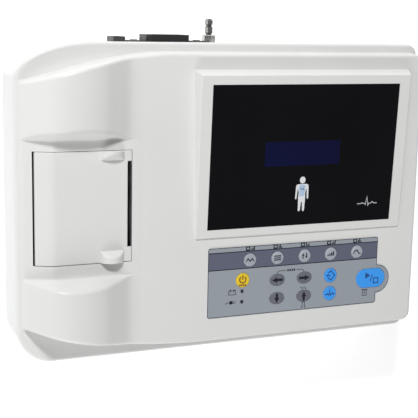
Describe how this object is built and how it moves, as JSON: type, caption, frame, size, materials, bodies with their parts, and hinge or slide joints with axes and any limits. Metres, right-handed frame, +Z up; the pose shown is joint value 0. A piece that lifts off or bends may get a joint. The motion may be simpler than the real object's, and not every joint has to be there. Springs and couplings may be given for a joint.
{
  "type": "ecg machine",
  "caption": "Portable electrocardiograph: low white case with a swept arch over a paper door, raised black display, membrane keypad, mains inlet and ground post.",
  "frame": {"origin": "centre of the footprint on the surface it stands on", "axes": "+X to the operator's right, +Y to the rear wall with the mains inlet, +Z up"},
  "size_m": [0.3132, 0.2404, 0.0745],
  "materials": {
    "casing_white": "off-white moulded plastic, satin with a very fine grain",
    "casing_grey": "light grey moulded plastic, fine grain",
    "foot_rubber": "matte black rubber",
    "gasket_rubber": "matte black foam rubber",
    "platen_rubber": "ground black rubber",
    "screw_steel": "zinc plated steel",
    "spring_steel": "dark spring steel",
    "shaft_steel": "ground steel",
    "post_metal": "nickel plated brass",
    "motor_metal": "zinc plated can",
    "contact_brass": "plated brass",
    "window_black": "black backed clear window, polished",
    "display_module": "black metal frame round a dark blue display",
    "ribbon_grey": "grey flat cable",
    "overlay_grey": "printed blue-grey polyester sheet",
    "circuit_board": "green circuit board",
    "lamp_lens": "dark lamp lens",
    "black_plastic": "black moulded plastic",
    "socket_plastic": "dark socket body",
    "printer_black": "black moulded plastic",
    "battery_sleeve": "blue shrink sleeve",
    "head_ceramic": "white ceramic on an aluminium plate",
    "gear_white": "natural acetal",
    "chart_paper": "thermal chart paper",
    "key_grey": "light grey key",
    "key_dark": "dark grey key",
    "key_yellow": "yellow key",
    "key_blue": "blue key"
  },
  "bodies": {
    "casing": {"upper_casing": "casing_white", "lower_casing": "casing_grey", "feet": "foot_rubber", "casing_screws": "screw_steel", "board_screws": "screw_steel", "display_bezel": "casing_white", "display_window": "window_black", "window_gasket": "gasket_rubber", "lcd_module": "display_module", "display_screws": "screw_steel", "display_ribbon": "ribbon_grey", "keypad_overlay": "overlay_grey", "keypad_board": "circuit_board", "keypad_ribbon": "ribbon_grey", "status_lamps": "lamp_lens", "main_board": "circuit_board", "beeper": "black_plastic", "power_board": "circuit_board", "battery_pack": "battery_sleeve", "battery_cover": "casing_grey", "battery_cover_screw": "screw_steel", "mains_inlet": "black_plastic", "inlet_blades": "contact_brass", "inlet_screws": "screw_steel", "switch_frame": "black_plastic", "ground_post": "post_metal", "ground_nuts": "post_metal", "patient_socket": "socket_plastic", "printer_frame": "printer_black", "printer_screws": "screw_steel", "thermal_head": "head_ceramic", "head_springs": "spring_steel", "tear_bar": "spring_steel", "idler_axle": "shaft_steel", "stepper_motor": "motor_metal", "door_hinge_pin": "shaft_steel"},
    "door": {"paper_door": "casing_white"},
    "platen": {"platen_roller": "platen_rubber", "platen_shaft": "shaft_steel", "platen_gear": "gear_white"},
    "idler": {"idler_gear": "gear_white"},
    "rotor": {"motor_shaft": "shaft_steel", "motor_pinion": "gear_white"},
    "paper": {"paper_roll": "chart_paper", "paper_spindle": "printer_black"},
    "rocker": {"switch_rocker": "black_plastic"},
    "function_1_key": {"key_function_1": "key_grey"},
    "function_2_key": {"key_function_2": "key_grey"},
    "function_3_key": {"key_function_3": "key_grey"},
    "function_4_key": {"key_function_4": "key_grey"},
    "function_5_key": {"key_function_5": "key_grey"},
    "power_key": {"key_power": "key_yellow"},
    "left_key": {"key_left": "key_dark"},
    "right_key": {"key_right": "key_dark"},
    "down_key": {"key_down": "key_dark"},
    "up_key": {"key_up": "key_dark"},
    "copy_key": {"key_copy": "key_blue"},
    "pulse_key": {"key_pulse": "key_blue"},
    "print_key": {"key_print": "key_blue"}
  },
  "joints": [
    {"name": "door_hinge", "type": "hinge", "parent": "casing", "child": "door", "pos_m": [-0.1432, -0.0091, 0.054], "axis": [0, -1, 0], "range_deg": [0, 90]},
    {"name": "platen_spin", "type": "hinge", "parent": "casing", "child": "platen", "pos_m": [-0.086, -0.0077, 0.047], "axis": [0, 1, 0], "continuous": true},
    {"name": "idler_spin", "type": "hinge", "parent": "casing", "child": "idler", "pos_m": [-0.07269, 0.03, 0.03966], "axis": [0, 1, 0], "continuous": true},
    {"name": "motor_spin", "type": "hinge", "parent": "casing", "child": "rotor", "pos_m": [-0.06, 0.03, 0.038], "axis": [0, 1, 0], "continuous": true},
    {"name": "roll_spin", "type": "hinge", "parent": "casing", "child": "paper", "pos_m": [-0.116, -0.0077, 0.032], "axis": [0, 1, 0], "continuous": true},
    {"name": "rocker_tilt", "type": "hinge", "parent": "casing", "child": "rocker", "pos_m": [-0.079, 0.101, 0.026], "axis": [1, 0, 0], "range_deg": [0, 16]},
    {"name": "function_1_press", "type": "slide", "parent": "casing", "child": "function_1_key", "axis": [0, 0, -1], "range_m": [0, 0.0004], "stiffness_N_per_m": 800, "springref_m": -0.0004},
    {"name": "function_2_press", "type": "slide", "parent": "casing", "child": "function_2_key", "axis": [0, 0, -1], "range_m": [0, 0.0004], "stiffness_N_per_m": 800, "springref_m": -0.0004},
    {"name": "function_3_press", "type": "slide", "parent": "casing", "child": "function_3_key", "axis": [0, 0, -1], "range_m": [0, 0.0004], "stiffness_N_per_m": 800, "springref_m": -0.0004},
    {"name": "function_4_press", "type": "slide", "parent": "casing", "child": "function_4_key", "axis": [0, 0, -1], "range_m": [0, 0.0004], "stiffness_N_per_m": 800, "springref_m": -0.0004},
    {"name": "function_5_press", "type": "slide", "parent": "casing", "child": "function_5_key", "axis": [0, 0, -1], "range_m": [0, 0.0004], "stiffness_N_per_m": 800, "springref_m": -0.0004},
    {"name": "power_press", "type": "slide", "parent": "casing", "child": "power_key", "axis": [0, 0, -1], "range_m": [0, 0.0004], "stiffness_N_per_m": 800, "springref_m": -0.0004},
    {"name": "left_press", "type": "slide", "parent": "casing", "child": "left_key", "axis": [0, 0, -1], "range_m": [0, 0.0004], "stiffness_N_per_m": 800, "springref_m": -0.0004},
    {"name": "right_press", "type": "slide", "parent": "casing", "child": "right_key", "axis": [0, 0, -1], "range_m": [0, 0.0004], "stiffness_N_per_m": 800, "springref_m": -0.0004},
    {"name": "down_press", "type": "slide", "parent": "casing", "child": "down_key", "axis": [0, 0, -1], "range_m": [0, 0.0004], "stiffness_N_per_m": 800, "springref_m": -0.0004},
    {"name": "up_press", "type": "slide", "parent": "casing", "child": "up_key", "axis": [0, 0, -1], "range_m": [0, 0.0004], "stiffness_N_per_m": 800, "springref_m": -0.0004},
    {"name": "copy_press", "type": "slide", "parent": "casing", "child": "copy_key", "axis": [0, 0, -1], "range_m": [0, 0.0004], "stiffness_N_per_m": 800, "springref_m": -0.0004},
    {"name": "pulse_press", "type": "slide", "parent": "casing", "child": "pulse_key", "axis": [0, 0, -1], "range_m": [0, 0.0004], "stiffness_N_per_m": 800, "springref_m": -0.0004},
    {"name": "print_press", "type": "slide", "parent": "casing", "child": "print_key", "axis": [0, 0, -1], "range_m": [0, 0.0004], "stiffness_N_per_m": 800, "springref_m": -0.0004}
  ],
  "couplings": [
    {"joint": "idler_spin", "follows": "platen_spin", "ratio": -0.9},
    {"joint": "motor_spin", "follows": "platen_spin", "ratio": 1.5}
  ]
}
